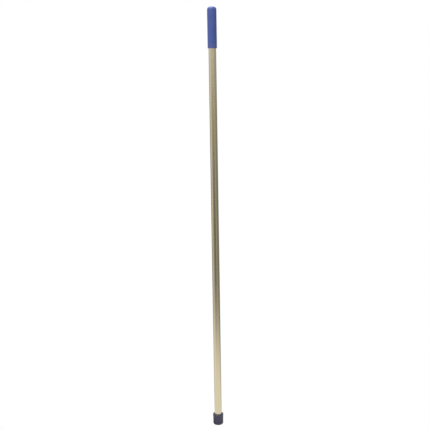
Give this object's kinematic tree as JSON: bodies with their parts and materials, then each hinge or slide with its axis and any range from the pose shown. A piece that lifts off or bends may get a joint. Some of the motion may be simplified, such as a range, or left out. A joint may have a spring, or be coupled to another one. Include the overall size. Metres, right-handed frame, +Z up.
{
  "type": "boat hook",
  "caption": "Telescopic boat-hook pole, closed: gold anodised tube, blue vinyl grip, black twist-lock collar and a socket for the hook head.",
  "frame": {"origin": "centre of the head socket's lower end face, on the pole's axis", "axes": "+Z up along the pole to the grip; -Y to the front, where the hook head's screw goes in; X along the cross pins"},
  "size_m": [0.0368, 0.0368, 1.466],
  "materials": {
    "gold_anodised_tube": "satin",
    "bare_aluminium_tube": "satin",
    "stainless_fastener": "satin",
    "blue_vinyl": "satin",
    "black_moulding": "satin",
    "natural_nylon": "satin",
    "black_rubber": "matte",
    "closed_cell_foam": "matte"
  },
  "bodies": {
    "inner_section": {"inner_tube": "bare_aluminium_tube", "head_socket": "black_moulding", "socket_pin": "stainless_fastener", "flotation_foam": "closed_cell_foam", "guide_bush": "natural_nylon", "guide_pin": "stainless_fastener"},
    "glide_ring": {"glide_ring": "natural_nylon"},
    "outer_section": {"outer_tube": "gold_anodised_tube", "stop_sleeve": "natural_nylon", "stop_rivet_front": "stainless_fastener", "stop_rivet_back": "stainless_fastener", "collet_body": "black_moulding", "collet_set_screw": "stainless_fastener", "end_plug": "black_moulding", "bump_stop": "black_rubber", "grip": "blue_vinyl"},
    "wiper_ring": {"wiper_ring": "black_rubber"},
    "lock_nut": {"lock_nut": "black_moulding"}
  },
  "joints": [
    {"name": "section_turn", "type": "hinge", "parent": "inner_section", "child": "glide_ring", "pos_m": [0, 0, 0], "axis": [0, 0, 1], "continuous": true},
    {"name": "extension", "type": "slide", "parent": "glide_ring", "child": "outer_section", "axis": [0, 0, 1], "range_m": [0, 1.212]},
    {"name": "nut_travel", "type": "slide", "parent": "outer_section", "child": "wiper_ring", "axis": [0, 0, -1], "range_m": [0, 0.00126]},
    {"name": "nut_turn", "type": "hinge", "parent": "wiper_ring", "child": "lock_nut", "pos_m": [0, 0, 0], "axis": [0, 0, -1], "range_deg": [0, 150]}
  ],
  "couplings": [
    {"joint": "nut_travel", "follows": "nut_turn", "m_per_rad": 0.00047746}
  ]
}
